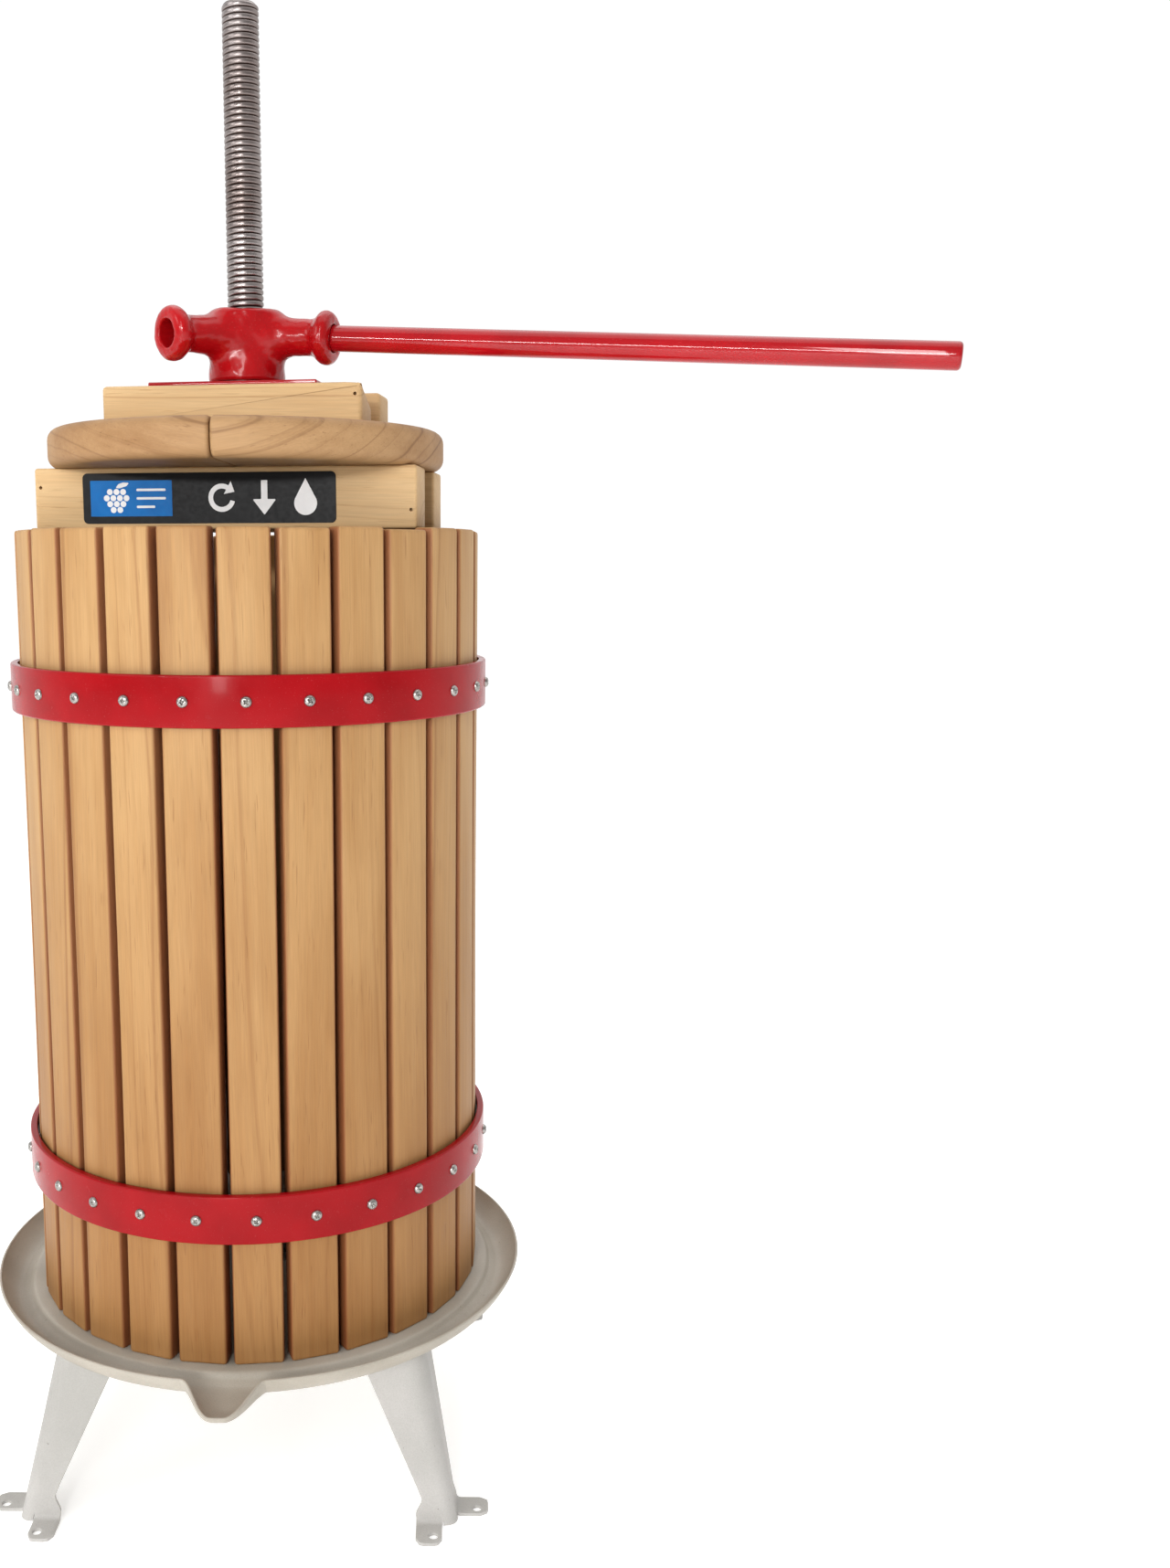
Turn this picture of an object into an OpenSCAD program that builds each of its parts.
// Basket wine press: slatted wooden basket on a steel tray, pressed down by a nut on a central spindle.
// +Z is up, the floor is z = 0, the spindle is the Z axis and the tray's spout points along -Y.

/* [Basket] */
// distance from the axis to the flat outer face of a slat
slat_face_r = 148.2; // [120:0.1:200]
// height of the wooden slats
slat_h = 500; // [300:1:700]
// width of a slat
slat_w = 30.5; // [20:0.1:50]
// thickness of a slat
slat_t = 13.2; // [10:0.1:24]
// number of slats round the basket
slat_count = 27; // [18:1:30]
// turn of the first slat from the tray's front, in degrees
basket_turn = 6.67; // [0:0.01:15]
// height of a hoop band
hoop_h = 30; // [20:1:50]
// thickness of a hoop band
hoop_t = 5; // [2:0.1:6]
// middle of the lower hoop above the floor
low_hoop_z = 207.5; // [150:0.5:300]
// middle of the upper hoop above the floor
high_hoop_z = 515; // [350:0.5:600]

/* [Tray and legs] */
// radius of the tray at its rim
rim_r = 178.5; // [165:0.5:220]
// height of the tray's rim above the floor
rim_z = 118; // [80:1:200]
// depth of the juice channel below the rim
channel_depth = 13.5; // [8:0.5:30]
// depth of the raised middle below the rim
plateau_depth = 5; // [2:0.5:12]
// reach of the spout from the axis
spout_reach = 203; // [185:1:230]
// width of the spout near its tip
spout_w = 26; // [16:1:40]
// thickness of the tray's sheet steel
tray_t = 1.5; // [1:0.1:3]
// thickness of a leg's sheet steel
leg_t = 2; // [1.5:0.1:4]
// width of a leg's flange where it meets the tray
leg_top_w = 44; // [30:1:60]
// width of a leg's flange at the floor
leg_foot_w = 24; // [15:1:40]
// radius of the fold line of a leg under the tray
fold_top_r = 162; // [140:1:175]
// radius of the fold line of a leg at the floor
fold_foot_r = 194; // [150:1:230]
// length of a foot ear
ear_l = 20; // [12:1:30]
// radius of a hole in a foot ear
ear_hole_r = 3; // [2:0.1:5]

/* [Spindle] */
// outer radius of the threaded spindle
spindle_r = 11.5; // [8:0.1:16]
// height of the spindle's top above the floor
spindle_top_z = 935; // [700:1:1100]

/* [Pressing blocks] */
// length of a long block
long_l = 244; // [180:1:248]
// height of a long block
long_h = 38; // [20:1:60]
// depth of a long block
long_d = 32; // [20:1:40]
// distance from the axis to the outer face of a long block
long_out = 50; // [40:0.5:56]
// radius of the two pressing half discs
disc_r = 126; // [100:0.5:132]
// thickness of the half discs
disc_h = 24; // [15:1:40]
// edge rounding of the half discs
disc_edge_r = 7; // [2:0.5:11]
// length of a short block
short_l = 165; // [100:1:220]
// height of a short block
short_h = 26; // [15:1:45]
// depth of a short block
short_d = 31; // [20:1:40]
// distance from the axis to the outer face of a short block
short_out = 45; // [38:0.5:56]
// turn of the blocks from the tray's front, in degrees
block_turn = -7.6; // [-30:0.1:30]
// turn of the seam between the half discs from the tray's front, in degrees
seam_turn = -2; // [-30:0.1:30]

/* [Nut and lever] */
// length of the thrust plate
plate_l = 108; // [70:1:130]
// depth of the thrust plate
plate_d = 72; // [60:1:120]
// radius of the nut's hub
hub_r = 25; // [20:0.5:32]
// height of the nut
nut_h = 44; // [35:1:60]
// radius of a socket's flared mouth
flare_r = 17; // [13:0.1:20]
// radius of a socket arm
arm_r = 12; // [10.5:0.1:15]
// distance from the axis to a socket's mouth
mouth_r = 60.5; // [50:0.5:80]
// radius of a socket's bore
socket_r = 8.5; // [6:0.1:10]
// slope of the sockets below level, in degrees
arm_slope = 4; // [0:0.5:8]
// turn of the lever's arm from the tray's front, in degrees
arm_turn = 73.8; // [0:0.1:120]
// radius of the lever bar
bar_r = 8; // [5:0.1:9.5]
// distance from the axis to the lever's far end
bar_reach = 435; // [300:1:600]

/* [Hidden] */
$fn = 64;
slop = 0.1;
part_gap = 0.3;
slat_z = rim_z - plateau_depth;
slat_top_z = slat_z + slat_h;
slat_edge = 1.4;
hoop_in_r = sqrt(pow(slat_face_r, 2) + pow(slat_w / 2, 2)) + 0.15;
hoop_out_r = hoop_in_r + hoop_t;
screw_shank_r = 1.9;
screw_head_r = 3.75;
screw_head_h = 2.2;
screw_in_r = slat_face_r - 11;
plateau_r = 156;
channel_in_r = 160;
channel_out_r = 167;
channel_z = rim_z - channel_depth;
lip_fall = 20;
long_z = slat_top_z;
disc_z = long_z + long_h;
short_z = disc_z + disc_h;
plate_z = short_z + short_h;
plate_t = 3;
ring_z = plate_z + plate_t;
ring_t = 2;
nut_z = ring_z + ring_t;
arm_z = nut_z + 30;
bar_start_r = 25;
socket_floor_r = 22;
spindle_clear_r = spindle_r + part_gap;
under_z = slat_z - tray_t;
stiffener_t = 4;
stiffener_r = 60;
washer_t = 2.5;
big_nut_h = 16;
big_nut_r = 19.6;
spindle_foot_z = under_z - stiffener_t - washer_t - big_nut_h - 5;
leg_bolt_r = 124;
leg_bolt_shank_r = 3;
fold_top = fold_top_r / sqrt(2);
fold_foot = fold_foot_r / sqrt(2);
label_w = 162;
label_h = 31;
label_t = 0.6;
label_shift = -12.3;
long_shift = -3.3;
short_shift = 1.6;
block_edge = 2;

// ---- tray ----

// section of the pressed sheet: raised middle, juice channel, flared wall and rolled rim
module tray_section(lift, inner_r) {
  polygon([
    [inner_r, slat_z + lift],
    [plateau_r, slat_z + lift],
    [channel_in_r, channel_z + lift],
    [channel_out_r, channel_z + lift],
    [rim_r - 3.2, rim_z - 6 + lift],
    [rim_r - 1.2, rim_z],
    [rim_r, rim_z],
    [rim_r, rim_z - 3],
    [rim_r - 1.4, rim_z - 6.6],
    [channel_out_r + 0.7, channel_z - tray_t],
    [channel_in_r - 1, channel_z - tray_t],
    [plateau_r - 1, under_z],
    [inner_r, under_z]
  ]);
}

// solid form of the spout's trough, larger all round by grow
module spout_shape(grow) {
  hull($fn = 40) {
    translate([0, -rim_r + 14, channel_z + 16 - grow])
      rotate([90, 0, 0])
        scale([1.6, 1, 1])
          cylinder(h = 1, r = 15.5 + grow);
    translate([0, -spout_reach + spout_w / 2 + 3, channel_z + spout_w / 2 - 2.5 - grow / 2])
      rotate([90, 0, 0])
        cylinder(h = 1, r = spout_w / 2 - 1 + grow);
    translate([0, -spout_reach + spout_w / 2, channel_z + spout_w / 2 - 2.5 - grow / 2])
      sphere(r = spout_w / 2 + grow - tray_t);
  }
}

// everything above the lip of the spout, which falls away from the rim
module above_spout_lip() {
  translate([0, -rim_r, rim_z])
    rotate([lip_fall, 0, 0])
      translate([-60, -100, 0])
        cube([120, 200, 80]);
}

module tray() {
  color("ivory") {
    difference() {
      rotate_extrude($fn = 180)
        tray_section(0, spindle_r + slop);
      spout_shape(0);
      leg_bolt_holes(leg_bolt_shank_r + slop);
    }
    difference() {
      spout_shape(tray_t);
      spout_shape(0);
      above_spout_lip();
      translate([0, 0, channel_z - 20])
        cylinder(h = 60, r = rim_r - 5, $fn = 180);
    }
  }
}

// ---- legs ----

module leg_bolt_holes(r) {
  for (a = [45 : 90 : 315])
    rotate(a)
      translate([leg_bolt_r, 0, channel_z - 20])
        cylinder(h = 60, r = r);
}

// everything above the tray's underside, with a hair of clearance
module above_tray() {
  rotate_extrude($fn = 180)
    polygon([
      [0, under_z],
      [plateau_r - 1, under_z],
      [channel_in_r - 1, channel_z - tray_t],
      [channel_out_r + 0.7, channel_z - tray_t],
      [rim_r - 1.4, rim_z - 6.6],
      [rim_r + 30, rim_z - 6.6],
      [rim_r + 30, rim_z + 60],
      [0, rim_z + 60]
    ]);
}

// one flange, in the plane that leans out with the fold line, on the side facing -Y
module leg_flange() {
  lean = atan((fold_foot - fold_top) / under_z);
  slant = under_z / cos(lean);
  translate([0, -fold_top, under_z])
    rotate([-90 - lean, 0, 0])
      linear_extrude(leg_t)
        polygon([
          [fold_top, 0],
          [fold_top - leg_top_w, 0],
          [fold_foot - leg_foot_w, slant],
          [fold_foot, slant]
        ]);
}

module foot_ear() {
  difference() {
    translate([fold_foot - leg_foot_w, -fold_foot - ear_l, 0])
      cube([leg_foot_w - 6, ear_l + leg_t, leg_t]);
    translate([fold_foot - leg_foot_w / 2 - 3, -fold_foot - ear_l + 8, -1])
      cylinder(h = leg_t + 2, r = ear_hole_r);
    for (side = [0, 1])
      translate([fold_foot - leg_foot_w + side * (leg_foot_w - 6), -fold_foot - ear_l, -1])
        rotate(45)
          cube([6, 6, 3 * leg_t], center = true);
  }
}

module half_leg() {
  difference() {
    leg_flange();
    translate([-300, -300, -20])
      cube([600, 600, 20]);
    rotate(-45)
      translate([-300, 0, -1])
        cube([600, 300, 300]);
  }
  foot_ear();
}

// leg on the -Y +X corner: two flanges that meet at a fold, two ears and a bolting tab
module leg(turn) {
  color("gainsboro")
    rotate(turn)
      difference() {
        union() {
          half_leg();
          mirror([1, 1, 0])
            half_leg();
          leg_tab();
        }
        above_tray();
        leg_bolt_holes(leg_bolt_shank_r + slop);
      }
}

module leg_tab() {
  near = fold_top - leg_top_w;
  translate([0, 0, under_z - leg_t])
    linear_extrude(leg_t)
      polygon([
        [fold_top - 0.5, 0.5 - fold_top],
        [near, 0.5 - fold_top],
        [near, -near - 17],
        [near + 17, -near],
        [fold_top - 0.5, -near]
      ]);
}

module leg_bolts() {
  color("silver")
    for (a = [45 : 90 : 315])
      rotate(a)
        translate([leg_bolt_r, 0, 0]) {
          translate([0, 0, under_z - leg_t - 9])
            cylinder(h = 9 + leg_t + tray_t, r = leg_bolt_shank_r);
          translate([0, 0, slat_z])
            cylinder(h = 1.4, r = 7.5);
          translate([0, 0, slat_z + 1.4])
            cylinder(h = 1.8, r1 = 7.5, r2 = 4);
        }
}

module leg_nuts() {
  color("silver")
    for (a = [45 : 90 : 315])
      rotate(a)
        translate([leg_bolt_r, 0, under_z - leg_t - 6.5])
          difference() {
            union() {
              translate([0, 0, 1.2])
                cylinder(h = 4.1, r = 5.77, $fn = 6);
              translate([0, 0, 5.3])
                cylinder(h = 1.2, r = 6.5);
            }
            cylinder(h = 8, r = leg_bolt_shank_r + slop);
          }
}

module tray_stiffener() {
  color("gainsboro")
    difference() {
      translate([0, 0, under_z - stiffener_t])
        cylinder(h = stiffener_t, r = stiffener_r);
      translate([0, 0, under_z - stiffener_t - 1])
        cylinder(h = stiffener_t + 2, r = spindle_r + slop);
    }
}

// ---- spindle ----

module spindle() {
  chamfer = 1.5;
  color("dimgray") {
    translate([0, 0, spindle_foot_z])
      cylinder(h = spindle_top_z - spindle_foot_z - chamfer, r = spindle_r);
    translate([0, 0, spindle_top_z - chamfer])
      cylinder(h = chamfer, r1 = spindle_r, r2 = spindle_r - chamfer);
  }
}

module washer(z, r) {
  color("silver")
    difference() {
      translate([0, 0, z])
        cylinder(h = washer_t, r = r);
      translate([0, 0, z - 1])
        cylinder(h = washer_t + 2, r = spindle_r + slop);
    }
}

module big_nut(z) {
  color("darkgray")
    difference() {
      intersection() {
        translate([0, 0, z])
          cylinder(h = big_nut_h, r = big_nut_r, $fn = 6);
        translate([0, 0, z - 9])
          cylinder(h = big_nut_h + 9, r1 = big_nut_r + 15, r2 = big_nut_r - 1.2);
        translate([0, 0, z])
          cylinder(h = big_nut_h + 9, r1 = big_nut_r - 1.2, r2 = big_nut_r + 15);
      }
      translate([0, 0, z - 1])
        cylinder(h = big_nut_h + 2, r = spindle_r + slop);
    }
}

// ---- basket ----

// turn of a slat and its screws from the tray's front, in degrees
function slat_turn(i) = basket_turn + (i - 1) * 360 / slat_count;

module slat(turn) {
  half = slat_w / 2;
  in_r = slat_face_r - slat_t;
  color("burlywood")
    rotate(turn)
      difference() {
        translate([0, 0, slat_z])
          linear_extrude(slat_h)
            polygon([
              [-half + slat_edge, -slat_face_r],
              [half - slat_edge, -slat_face_r],
              [half, -slat_face_r + slat_edge],
              [half, -in_r],
              [-half, -in_r],
              [-half, -slat_face_r + slat_edge]
            ]);
        for (z = [low_hoop_z, high_hoop_z])
          translate([0, -screw_in_r + 0.5, z])
            rotate([90, 0, 0])
              cylinder(h = 20, r = screw_shank_r + slop, $fn = 24);
      }
}

module hoop(z) {
  color("firebrick")
    difference() {
      translate([0, 0, z - hoop_h / 2])
        cylinder(h = hoop_h, r = hoop_out_r, $fn = 180);
      translate([0, 0, z - hoop_h / 2 - 1])
        cylinder(h = hoop_h + 2, r = hoop_in_r, $fn = 180);
      for (i = [1 : slat_count])
        rotate(slat_turn(i))
          translate([0, -hoop_in_r + 5, z])
            rotate([90, 0, 0])
              cylinder(h = 20, r = screw_shank_r + slop, $fn = 24);
    }
}

module hoop_screws(z) {
  color("silver")
    for (i = [1 : slat_count])
      rotate(slat_turn(i))
        translate([0, 0, z])
          rotate([90, 0, 0]) {
            translate([0, 0, screw_in_r])
              cylinder(h = hoop_out_r - screw_in_r + 1, r = screw_shank_r, $fn = 24);
            translate([0, 0, hoop_out_r])
              cylinder(h = screw_head_h / 2, r = screw_head_r, $fn = 32);
            translate([0, 0, hoop_out_r + screw_head_h / 2])
              cylinder(h = screw_head_h / 2, r1 = screw_head_r, r2 = screw_head_r * 0.62, $fn = 32);
          }
}

// ---- pressing blocks ----

module block(l, d, h, shift, y, z) {
  edge = block_edge;
  color("wheat")
    translate([shift, y, z])
      linear_extrude(h)
        polygon([
          [-l / 2 + edge, -d / 2],
          [l / 2 - edge, -d / 2],
          [l / 2, -d / 2 + edge],
          [l / 2, d / 2 - edge],
          [l / 2 - edge, d / 2],
          [-l / 2 + edge, d / 2],
          [-l / 2, d / 2 - edge],
          [-l / 2, -d / 2 + edge]
        ]);
}

module long_block_front() {
  rotate(block_turn)
    block(long_l, long_d, long_h, long_shift, long_d / 2 - long_out, long_z);
}

module long_block_rear() {
  rotate(block_turn)
    block(long_l, long_d, long_h, long_shift, long_out - long_d / 2, long_z);
}

module short_block_front() {
  rotate(block_turn)
    difference() {
      block(short_l, short_d, short_h, short_shift, short_d / 2 - short_out, short_z);
      translate([short_shift + short_l / 2 - 1, -short_out, short_z + short_h])
        rotate([-22, 0, 0])
          rotate([0, 12, 0])
            translate([-2, -1, 0])
              cube([20, 60, 20]);
    }
}

module short_block_rear() {
  rotate(block_turn)
    block(short_l, short_d, short_h, short_shift, short_out - short_d / 2, short_z);
}

// half of the round pressing board, with a notch that clears the spindle
module half_disc(start) {
  seam = 0.25;
  notch_r = spindle_r + 4;
  color("tan")
    rotate(seam_turn)
      difference() {
        translate([0, 0, disc_z])
          rotate_extrude(angle = 360, $fn = 180) {
            translate([notch_r, 0])
              square([disc_r - disc_edge_r - notch_r, disc_h]);
            translate([notch_r, disc_edge_r])
              square([disc_r - notch_r, disc_h - 2 * disc_edge_r]);
            for (z = [disc_edge_r, disc_h - disc_edge_r])
              translate([disc_r - disc_edge_r, z])
                circle(r = disc_edge_r);
          }
        rotate(start)
          translate([-seam, -disc_r - 5, disc_z - 1])
            cube([disc_r + 10, 2 * disc_r + 10, disc_h + 2]);
      }
}

module label_plate() {
  corner = 3;
  color("black")
    rotate(block_turn)
      translate([label_shift, -long_out, long_z + 3.5 + label_h / 2])
        rotate([90, 0, 0])
          linear_extrude(label_t) {
            square([label_w - 2 * corner, label_h], center = true);
            square([label_w, label_h - 2 * corner], center = true);
            for (x = [-1, 1], y = [-1, 1])
              translate([x * (label_w / 2 - corner), y * (label_h / 2 - corner)])
                circle(r = corner);
          }
}

// ---- head ----

module thrust_plate() {
  color("crimson")
    rotate(block_turn)
      difference() {
        translate([-plate_l / 2, -plate_d / 2, plate_z])
          cube([plate_l, plate_d, plate_t]);
        translate([0, 0, plate_z - 1])
          cylinder(h = plate_t + 2, r = spindle_clear_r + 1);
      }
}

module thrust_ring() {
  color("silver")
    difference() {
      translate([0, 0, ring_z])
        cylinder(h = ring_t, r = hub_r - 2);
      translate([0, 0, ring_z - 1])
        cylinder(h = ring_t + 2, r = spindle_clear_r + 0.5);
    }
}

// runs what follows along a socket's axis: +Z points out of the socket, z = 0 is the spindle's axis
module along_arm(turn) {
  rotate(turn)
    translate([0, 0, arm_z])
      rotate([90 + arm_slope, 0, 0])
        children();
}

module socket_arm(turn) {
  flare_t = 9;
  edge = flare_t / 2;
  along_arm(turn) {
    translate([0, 0, spindle_r + 5])
      cylinder(h = mouth_r - edge - spindle_r - 5, r = arm_r);
    translate([0, 0, mouth_r - flare_t - 12])
      cylinder(h = 12, r1 = arm_r, r2 = flare_r - edge + 1);
    translate([0, 0, mouth_r - edge])
      rotate_extrude() {
        translate([0, -edge])
          square([flare_r - edge, flare_t]);
        translate([flare_r - edge, 0])
          circle(r = edge);
      }
  }
}

module press_nut() {
  foot_h = 8;
  color("crimson")
    difference() {
      union() {
        translate([0, 0, nut_z])
          cylinder(h = foot_h, r = hub_r + 1);
        translate([0, 0, nut_z + foot_h])
          cylinder(h = 4, r1 = hub_r + 1, r2 = hub_r - 1.5);
        translate([0, 0, nut_z + foot_h + 4])
          cylinder(h = nut_h - foot_h - 6, r = hub_r - 1.5);
        translate([0, 0, nut_z + nut_h - 2])
          cylinder(h = 2, r1 = hub_r - 1.5, r2 = hub_r - 3.5);
        for (i = [0 : 2])
          socket_arm(arm_turn + i * 120);
      }
      translate([0, 0, nut_z - 1])
        cylinder(h = nut_h + 2, r = spindle_clear_r);
      for (i = [0 : 2])
        along_arm(arm_turn + i * 120)
          translate([0, 0, socket_floor_r])
            cylinder(h = mouth_r, r = socket_r);
    }
}

module lever_bar() {
  tip = 2;
  color("crimson")
    along_arm(arm_turn) {
      translate([0, 0, bar_start_r + tip])
        cylinder(h = bar_reach - bar_start_r - 2 * tip, r = bar_r);
      translate([0, 0, bar_start_r])
        cylinder(h = tip, r1 = bar_r - tip, r2 = bar_r);
      translate([0, 0, bar_reach - tip])
        cylinder(h = tip, r1 = bar_r, r2 = bar_r - tip);
    }
}

tray();
for (i = [0 : 3])
  leg(i * 90);
leg_bolts();
leg_nuts();
tray_stiffener();
spindle();
washer(slat_z, 22);  // collar_washer
big_nut(slat_z + washer_t);  // collar_nut
washer(under_z - stiffener_t - washer_t, 22);  // foot_washer
big_nut(under_z - stiffener_t - washer_t - big_nut_h);  // foot_nut
for (i = [1 : slat_count])
  slat(slat_turn(i));
hoop(low_hoop_z);  // lower_hoop
hoop(high_hoop_z);  // upper_hoop
hoop_screws(low_hoop_z);  // lower_hoop_screws
hoop_screws(high_hoop_z);  // upper_hoop_screws
long_block_front();
long_block_rear();
half_disc(0);  // half_disc_left
half_disc(180);  // half_disc_right
short_block_front();
short_block_rear();
label_plate();
thrust_plate();
thrust_ring();
press_nut();
lever_bar();
